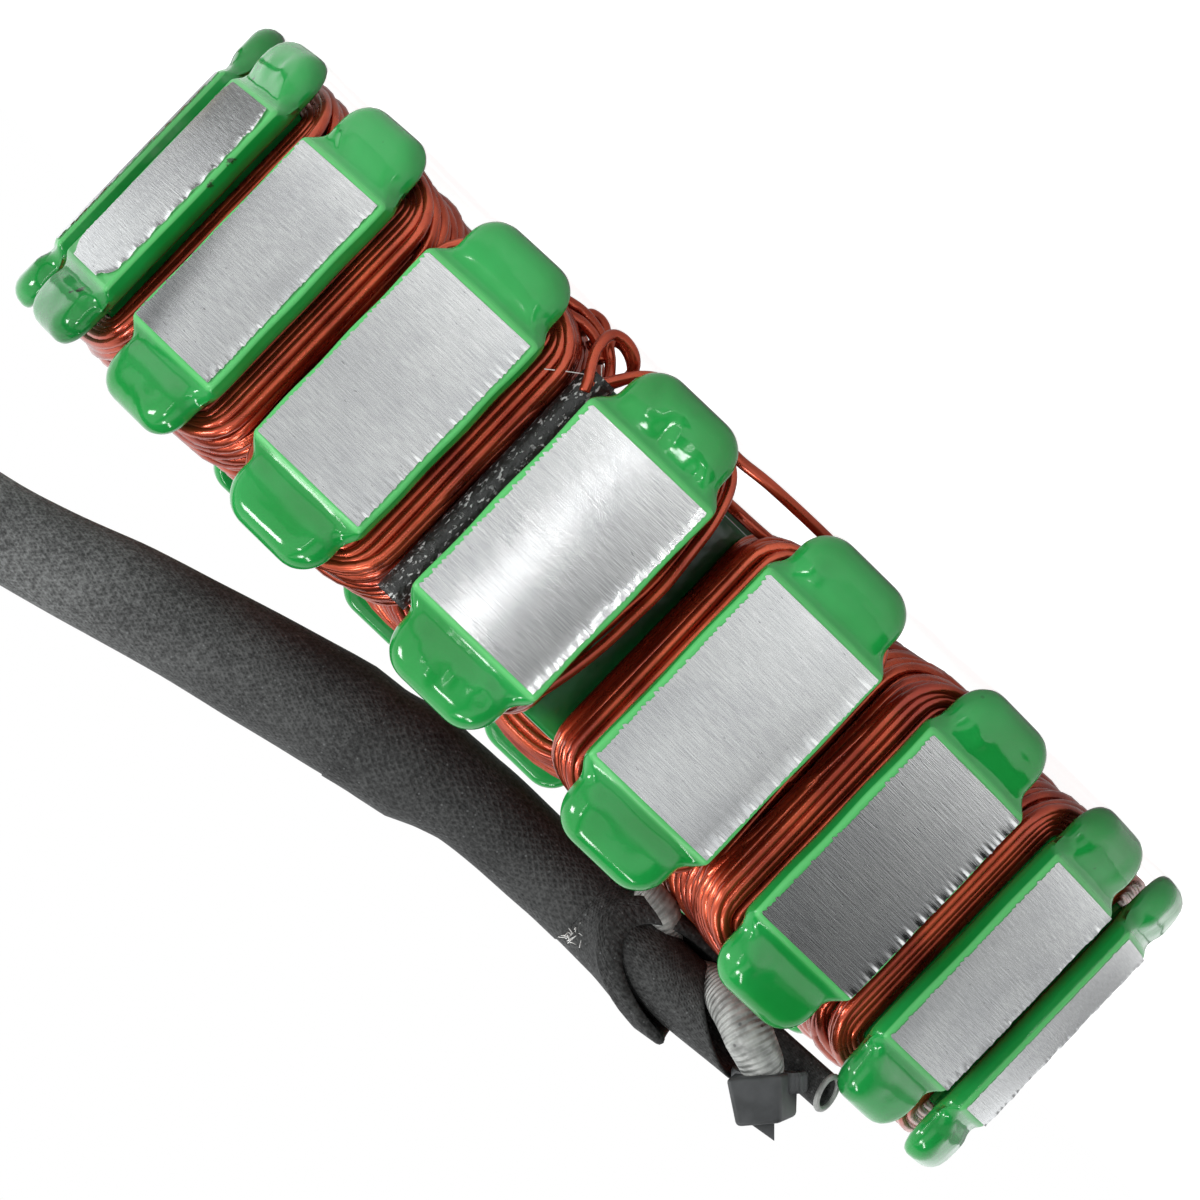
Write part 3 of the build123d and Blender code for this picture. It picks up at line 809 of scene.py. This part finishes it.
def tube(name, path, radii, count, material, open_ends=0.0, slant=(0, 0, 0), reach=9.0):
    """A tube as one piece. Its patterns follow turns round it and millimetres along it.

    open_ends is the wall that an open far end shows. slant cuts that end off at an angle, and reach
    is the furthest that the slant carries it on.
    """
    path = np.asarray(path, float)
    radii = np.broadcast_to(np.asarray(radii, float), (len(path),))
    side, up = frames_along(path)
    ahead = np.cross(side, up)
    a = round_turns(count)
    run = run_along(path)

    def ring(i, radius):
        offset = radius * (np.cos(a)[:, None] * side[i] + np.sin(a)[:, None] * up[i])
        share = max(0.0, 1 - (run[-1] - run[i]) / (2.6 * radii[-1]))
        return path[i] + offset + ahead[i] * (np.minimum(offset @ np.asarray(slant), reach) * share)[:, None]

    last = len(path) - 1
    rings = [ring(i, radii[i]) for i in range(len(path))]
    runs = list(run)
    if open_ends:
        for inwards, onwards in ((0.15, 0.3), (0.5, 0.45), (0.85, 0.3)):
            rings.append(ring(last, radii[last] - open_ends * inwards) + ahead[last] * open_ends * onwards)
        runs += [run[-1] + open_ends * share for share in (0.3, 0.6, 0.9)]
        inner = range(last, max(last - int(last * 0.5), 0), -1)
        rings += [ring(i, radii[i] - open_ends) for i in inner]
        runs += [run[-1] + open_ends + run[-1] - run[i] for i in inner]
    points = np.array(rings)
    own = np.stack(np.broadcast_arrays(a[None] / (2 * pi), np.array(runs)[:, None]), axis=-1).reshape(-1, 2)
    faces = shell_faces(len(points), count)
    return mesh_piece(name, points.reshape(-1, 3), faces, material, own=own, seam=True)


def wire(name, route, radius):
    """Round enamelled wire on a smooth line through a few points."""
    return tube(name, rounded_route(route), radius, 12, enamel)


upper_crossover = [(16.4, -47.8, -11.0), (15.7, -47.5, -11.7), (14.9, -47.2, -12.9), (14.0, -46.9, -14.1),
                   (12.6, -46.6, -15.1), (10.6, -46.9, -15.4), (8.2, -47.3, -15.4), (5.8, -47.6, -15.0),
                   (3.8, -47.6, -14.8), (0.4, -47.2, -15.1), (-5.6, -45.2, -15.3), (-12.5, -42.6, -15.2)]
lower_crossover = [(11.2, -33.2, -12.0), (4.2, -40.4, -11.9), (1.6, -43.4, -11.9), (-2.0, -44.0, -12.0),
                   (-7.4, -42.6, -12.4), (-11.8, -39.9, -13.0)]
crossing = wire("crossover_upper", upper_crossover, wire_radius)
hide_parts("crossover_wires")
wire("crossover_lower", lower_crossover, wire_radius)


# Wire loops: the twisted wires that come out of the coils by the open slot, and a turn that has come
# loose on tooth 15 and runs down its slot side.
loose_radius = 0.46
loose_wires = {
    "wire_loop": [
        (16.4, -48.3, -10.2), (16.8, -48.2, -11.1), (17.4, -47.9, -12.1), (17.9, -47.3, -13.2),
        (18.0, -46.7, -14.4), (17.7, -46.2, -15.1), (16.9, -46.0, -15.4), (15.9, -45.8, -15.3),
        (15.1, -45.6, -14.9), (14.6, -45.2, -14.3), (14.5, -44.7, -13.4), (14.9, -43.6, -12.4),
    ],
    "wire_tail_1": [
        (17.6, -44.2, -15.0), (17.2, -44.8, -14.2), (16.4, -45.1, -13.5), (15.7, -45.9, -12.6),
        (15.4, -46.6, -11.8),
    ],
    "wire_tail_2": [
        (17.4, -43.2, -14.8), (16.6, -43.6, -15.1), (15.8, -43.8, -15.0), (15.0, -44.1, -14.6),
        (14.4, -44.9, -14.0),
    ],
    "wire_pair_1": [
        (24.6, -42.6, -14.0), (21.8, -42.9, -14.7), (20.2, -42.6, -14.9), (18.4, -43.2, -14.6),
        (17.0, -44.2, -13.8),
    ],
    "wire_pair_2": [
        (24.4, -43.3, -13.2), (21.4, -43.6, -13.9), (19.8, -43.5, -14.2), (18.2, -44.0, -13.9),
        (16.9, -45.0, -12.9),
    ],
    "small_loop": [
        (19.4, -43.0, -13.6), (20.1, -42.0, -14.6), (19.9, -41.6, -15.2), (19.4, -41.6, -15.4),
        (18.8, -41.9, -15.4), (18.2, -42.2, -15.1), (17.9, -42.5, -14.3), (18.3, -42.9, -13.2),
    ],
    "loose_turn_1": [
        (8.2, -51.6, 13.0), (6.4, -52.0, 12.9), (4.7, -52.0, 11.9), (3.2, -51.9, 9.9), (2.4, -51.5, 7.2),
        (1.8, -51.2, 3.5), (1.6, -51.2, 0.1), (1.5, -51.2, -3.4), (1.8, -51.2, -6.7), (2.1, -51.0, -9.4),
        (2.7, -50.7, -11.8), (3.7, -50.2, -13.5), (5.6, -49.6, -14.6), (8.0, -49.0, -14.9),
    ],
    "loose_turn_2": [
        (8.4, -50.6, 12.6), (6.3, -51.0, 12.2), (4.5, -51.0, 10.6), (3.5, -50.8, 7.0), (2.8, -50.6, 3.5),
        (2.5, -50.5, 0.5), (2.2, -50.4, -2.7), (2.3, -50.4, -6.2), (2.7, -50.3, -8.9), (3.3, -49.8, -11.2),
        (4.3, -49.4, -12.9), (6.2, -48.8, -13.8), (8.4, -48.2, -14.0),
    ],
}
for name, route in loose_wires.items():
    wire(name, route, loose_radius)


# Slot sleeve: black glass braid, soaked in resin, over the wire that crosses the stack in the open slot.
# It keeps that wire off the coils on both sides.
def braid_look(low, high, yarns, picks, paler_along=1.0):
    """Plaited black yarn, dull with small painted glints, and paler further along its length."""

    def look(place, own):
        sway = place.noise(450, 2) * 5.0
        around_it = own.part("X") * (2 * pi * yarns) + sway
        down_it = own.part("Y") * (2 * pi / picks)
        weave = (around_it + down_it).math("SINE").math("MAXIMUM", (around_it - down_it).math("SINE"))
        fuzz = place.noise(2600, 3, 0.7)
        patch = place.noise(130, 3)
        # Painted glints: small pale spots painted into the yarn's colour as highlights.
        painted_glint = place.cells(1300).between(0.16, 0.06)
        worn = (weave * 0.05 + fuzz * 0.9 + patch * 0.3).between(0.42, 0.92)
        # The tone is raised from 6 mm to 42 mm along the tube, so the yarn is paler further along.
        paling = 1 + own.part("Y").between(6, 42) * (paler_along - 1)
        black, pale = (0, 0, 0, 1), (1, 1.03, 1.01, 1)
        tone = worn.colour((paling * low).colour(black, pale), (paling * high).colour(black, pale))
        return {
            "Base Color": (painted_glint * 0.35).colour(tone, (0.20, 0.21, 0.21, 1)),
            "Roughness": 0.62 - 0.2 * painted_glint,
            "Specular IOR Level": 0.3,
            "Normal": (weave * 0.12 + fuzz * 0.6 + patch).bump(0.00014),
        }

    return look


braid = finish("black braid", braid_look(0.009, 0.062, 44, 0.75))
lead_look = finish("lead braid", braid_look(0.012, 0.075, 64, 0.6, paler_along=2.6))


def speckled_braid(place, own):
    """Black braid stiff with resin, with many small painted glints on its resin patches."""
    fuzz = place.noise(1800, 3)
    resin = place.noise(700, 2).between(0.34, 0.52)
    # Painted glints: small pale spots painted into the colour as highlights on the resin patches.
    painted_glint = place.stretched(1, 1, 0.6).noise(2900, 2, 0.6).between(0.56, 0.66) * resin
    return {
        "Base Color": painted_glint.colour((0.014, 0.015, 0.014, 1), (0.50, 0.51, 0.50, 1)),
        "Roughness": 0.45,
        "Normal": (fuzz + painted_glint).bump(0.0002),
    }


slot_look = finish("resined braid", speckled_braid)
slot_radius = 1.45
slot_low, slot_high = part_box("slot_sleeve")
slot_middle = (slot_low + slot_high) * 500
slot_heights = np.linspace(slot_low.z * 1000, slot_high.z * 1000, 40)
slot_route = [(slot_middle.x, slot_middle.y, z) for z in slot_heights]
sleeve = tube("slot_braid", slot_route, slot_radius, 20, slot_look)
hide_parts("slot_sleeve")


# Lead: braided sleeve over three phase wires. It rises from the joint cover, leaves the picture, comes
# down outside it and lies on the floor in one easy curve.
lead_points = [(7.7, -36.0, 21.0), (24.5, -35.8, 24.4), (41.6, -33.6, 29.4), (58.5, -30.8, 31.8),
               (77.0, -27.6, 28.8), (95.0, -20.5, 19.0), (109.0, -7.5, 5.6), (118.0, 10.0, -6.2),
               (121.5, 31.0, -11.9), (121.0, 54.0, -11.9), (117.5, 77.0, -11.9), (111.0, 99.0, -11.9)]
lead_curve = bpy.data.curves.new("lead_route", "CURVE")
lead_curve.dimensions = "3D"
lead_curve.resolution_u = 16
lead_spline = lead_curve.splines.new("NURBS")
lead_spline.points.add(len(lead_points) - 1)
for point, (x, y, z) in zip(lead_spline.points, lead_points):
    point.co = (x / 1000, y / 1000, z / 1000, 1)
lead_spline.order_u = 3
lead_spline.use_endpoint_u = True
lead_path = np.array([v.co for v in mesh_of_curve(lead_curve).vertices]) * 1000
lead_run = run_along(lead_path)
# Thicker where the joint cover holds it, and a little off its line along the first 85 mm.
mouth_places = [0, 4, 8, 12, 18, 24, 30, 36]
lead_radii = np.interp(lead_run, mouth_places, [4.6, 4.86, 4.74, 4.66, 4.42, 4.32, 4.04, 3.85])
lead_rise = np.interp(lead_run, [0, 4, 12, 24, 34, 60, 85], [0, -0.2, 0.04, 0.27, 0.6, 0.6, 0])
lead_route = lead_path + lead_rise[:, None] * [0, 0, 1]
lead = tube("lead_braid", lead_route, lead_radii, 40, lead_look)
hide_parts("lead_sleeve")


# Plug: the three phase wires in yellow covers, the nylon housing that they end in, and its tinned brass
# blades. Their solids have their true shapes, and get a finish each.
def two_toned(scale, dark, light, roughness, metallic=0.0):
    """A plain finish that is a little lighter in some places than in others."""

    def look(place, own):
        tone = place.noise(scale, 2).colour(dark, light)
        return {"Base Color": tone, "Metallic": metallic, "Roughness": roughness}

    return look


plug_looks = {
    "plug_housing": two_toned(200, (0.60, 0.59, 0.54, 1), (0.66, 0.65, 0.60, 1), 0.38),
    "lead_wires": two_toned(300, (0.66, 0.47, 0.05, 1), (0.76, 0.56, 0.08, 1), 0.4),
    "plug_blades": two_toned(900, (0.62, 0.52, 0.30, 1), (0.74, 0.64, 0.40, 1), 0.3, metallic=1.0),
}
for node, look in plug_looks.items():
    piece = frame["nodes"][node]
    piece.data.materials.clear()
    piece.data.materials.append(finish(node, look))


# Joint cover: a wide braided sleeve over the soldered joints. Its outer layer stops at a frayed end,
# and the mouth of the inner one is a thick soft rim, cut away on the side that faces the camera.
cover_points = [(10.5, -36.0, 21.6), (7.7, -36.0, 21.0), (-0.3, -36.1, 19.4), (-8.8, -35.4, 19.1),
                (-17.0, -35.4, 18.9), (-24.2, -35.5, 18.8)]
cover_route = rounded_route(cover_points, 14)
cover_places = [-24.2, -22.0, -20.4, -17.3, -13.7, -10.3, -4.9, -0.3, 2.2, 4.7, 8.0]
cover_widths = [4.5, 4.8, 4.4, 3.95, 3.75, 3.66, 3.76, 3.92, 4.25, 4.75, 4.62]
cover_radii = np.interp(cover_route[:, 0], cover_places, cover_widths)
cover = tube("joint_cover_braid", cover_route, cover_radii, 44, braid, open_ends=0.9,
             slant=(0, 2.0, 0.38), reach=0.9)
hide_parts("joint_cover")
outer_route = [point for point in cover_route if point[0] > -13.5]
outer_radii = cover_radii[: len(outer_route)] + 0.1
tube("joint_cover_outer", outer_route, outer_radii, 44, braid, open_ends=0.2,
     slant=(0, 0, 0.06))


# Joint sleeve: black braid, the next sleeve in. It comes out of the cover's mouth and is cut off
# slantwise, dark inside.
inner_points = [(-14.0, -35.6, 19.2), (-18.6, -35.6, 18.9), (-23.5, -35.3, 18.75), (-27.8, -35.0, 18.5)]
inner_route = rounded_route(inner_points, 12)
inner_shares = np.linspace(0, 1, len(inner_route))
inner_radii = np.interp(inner_shares, [0, 0.08, 0.2, 0.6, 1], [2.0, 2.7, 3.1, 3.1, 3.0])
inner = tube("joint_sleeve_braid", inner_route, inner_radii, 36, braid, open_ends=0.45,
             slant=(0, 0.85, 1.15))
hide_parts("joint_sleeve")


# Pale sleeve: clear varnished glass braid over one joint. It runs from under the joint cover to the
# cable tie, and is ribbed where it bends.
def glass_braid(place, own):
    rib_step = 0.42
    rib = (own.part("Y") * (2 * pi / rib_step)).math("SINE")
    fuzz = place.noise(900, 3)
    speck = place.cells(620).between(0.13, 0.05)
    tone = fuzz.between(0.3, 0.7).colour((0.18, 0.185, 0.175, 1), (0.36, 0.37, 0.35, 1))
    return {
        "Base Color": (speck * 0.7).colour(tone, (0.02, 0.02, 0.02, 1)),
        "Roughness": 0.26 + 0.2 * fuzz,
        "Normal": (rib * 0.4 + fuzz).bump(0.00014),
    }


varnished = finish("varnished glass braid", glass_braid)
pale_points = [(-15.0, -37.0, 15.2), (-18.0, -36.4, 15.4), (-20.6, -33.8, 17.3), (-23.2, -33.4, 17.4),
               (-25.4, -36.0, 16.5), (-27.4, -38.6, 16.8), (-29.6, -39.7, 17.6), (-31.7, -39.6, 18.4),
               (-33.2, -38.8, 19.0)]
pale_route = rounded_route(pale_points, 10)
pale_shares = np.linspace(0, 1, len(pale_route))
pale_radii = np.interp(pale_shares, [0, 0.28, 0.43, 0.6, 0.75, 0.9, 1], [1.6, 1.6, 1.5, 1.95, 2.05, 1.8, 1.4])
pale = tube("pale_braid", pale_route, pale_radii, 28, varnished, open_ends=0.4)
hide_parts("pale_sleeve")


# Small sleeve: black braid over one more wire end. It is open at its far end, and its cut rim is pale
# with varnish.
small_route = rounded_route([(-27.5, -34.85, 17.0), (-33.0, -35.2, 16.8), (-37.7, -36.6, 16.6)], 14)
small_slant = np.array([0, 0.3, 0.2])
small = tube("small_braid", small_route, 1.55, 24, braid, open_ends=0.4, slant=small_slant)
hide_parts("small_sleeve")
rim_side, rim_up = [across[-1] for across in frames_along(small_route)]
rim_ahead = np.cross(rim_side, rim_up)
rim_radius = 1.42
rim_turns = round_turns(36)[:, None]
offset = rim_radius * (np.cos(rim_turns) * rim_side + np.sin(rim_turns) * rim_up)
rim = (small_route[-1] + offset + rim_ahead * (0.15 + offset @ small_slant)[:, None])[None]
rim_points = closed_tubes(rim, 0.27, 8, rim - rim.mean(1))[0]
rim_faces = grid_faces(*rim_points.shape[:2], closed_rows=True, closed_columns=True).tolist()
mesh_piece("small_rim", rim_points.reshape(-1, 3), rim_faces, varnished)


# Cable tie: black nylon. Its ribbed band holds the pale and the small sleeve together, its locking head
# has rounded edges, and its tail is cut off to a point.
def matte_nylon(place, own):
    scuff = place.noise(500, 3)
    return {
        "Base Color": scuff.between(0.3, 0.7).colour((0.022, 0.024, 0.025, 1), (0.045, 0.048, 0.050, 1)),
        "Roughness": 0.42 + 0.15 * scuff,
        "Normal": scuff.bump(0.00006),
    }


tie_nylon = finish("tie nylon", matte_nylon)
head_place = np.array([-33.9, -39.6, 20.5])
head_long = np.array([-0.722, 0, -0.692])
head_deep = np.array([0.0, 1.0, 0.0])
head_tall = np.cross(head_deep, head_long)
band_middle = head_place - head_tall * 1.3 + head_deep * 3.2 + head_long * 0.9
band_half = np.array([2.7, 3.4])
band_turns = round_turns(120)
band_points = []
for a in band_turns:
    bearing = np.array([cos(a), sin(a)])
    spot = np.sign(bearing) * abs(bearing) ** 0.6 * band_half
    out = spot / band_half**2
    out /= np.linalg.norm(out)
    crest = 0.34 if int(a / (2 * pi) * 60) % 2 else 0.26
    for tall, off in ((-0.8, -0.26), (0.9, -0.26), (0.9, 0.2), (0.6, crest), (-0.5, crest), (-0.8, 0.2)):
        long, deep = spot + out * off
        band_points.append(band_middle + head_long * long + head_deep * deep + head_tall * tall)
band_faces = grid_faces(len(band_turns), 6, closed_rows=True, closed_columns=True).tolist()
mesh_piece("tie_band", band_points, band_faces, tie_nylon, smooth=False)


def tie_block(name, corners, edge):
    """A solid block from its corners in the head's own frame, with rounded edges."""
    shell = bmesh.new()
    made = []
    for long, deep, tall in corners:
        place = head_place + head_long * long + head_deep * deep + head_tall * tall
        made.append(shell.verts.new(place / 1000))
    for face in ((0, 1, 3, 2), (4, 6, 7, 5), (0, 4, 5, 1), (2, 3, 7, 6), (0, 2, 6, 4), (1, 5, 7, 3)):
        shell.faces.new([made[i] for i in face])
    bmesh.ops.recalc_face_normals(shell, faces=shell.faces)
    bmesh.ops.bevel(shell, geom=shell.edges[:], offset=edge / 1000, segments=3, profile=0.5, affect="EDGES")
    data = bpy.data.meshes.new(name)
    shell.to_mesh(data)
    shell.free()
    return shown(name, data, tie_nylon, smooth=True)


head_corners = [(-3.15, -2.0, -1.9), (-2.3, -2.0, 2.0), (-2.2, 2.0, -1.9), (-1.7, 2.0, 2.0),
                (1.25, -2.0, -2.2), (1.3, -2.0, 1.75), (3.1, 1.4, -2.2), (3.0, 1.4, 1.6)]
tail_corners = [(-0.9, -0.9, 1.7), (-0.9, -0.9, 2.0), (-0.9, 0.9, 1.7), (-0.9, 0.9, 2.0),
                (0.9, -0.9, 1.6), (0.9, -0.9, 3.3), (0.9, 0.9, 1.6), (0.9, 0.9, 3.1)]
head = tie_block("tie_head", head_corners, 0.38)
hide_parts("cable_tie")
tie_block("tie_tail", tail_corners, 0.06)


# Stray fibres: fine glass threads that have come off the braids, two by the wire loops and a tuft at the
# frayed end of the cover's outer layer.
def glass_thread(place, own):
    return {"Base Color": (0.72, 0.72, 0.70, 1), "Roughness": 0.5}


thread = finish("glass thread", glass_thread)
fibres = {
    "fibre_slot": [(19.9, -48.3, -9.3), (19.0, -48.2, -10.0), (18.2, -48.0, -10.6), (17.2, -47.6, -11.3),
                   (16.2, -47.4, -12.0)],
    "fibre_loop": [(16.8, -47.6, -12.7), (16.5, -47.8, -12.3), (16.2, -47.9, -12.0)],
}
for name, route in fibres.items():
    tube(name, rounded_route(route), 0.045, 5, thread)
rng = np.random.default_rng(41)
for index in range(16):
    start = np.array([-13.6, -38.5, 21.5]) + rng.normal(size=3) * [0.35, 0.15, 0.5]
    ends = start + rng.normal(size=3) * [0.5, 0.2, 0.6] + [-0.1, -0.25, 0.1]
    middle = (start + ends) / 2 + rng.normal(size=3) * 0.22
    route = rounded_route([start, middle, ends], 4)
    tube(f"fibre_end_{index + 1}", route, 0.035, 5, thread)
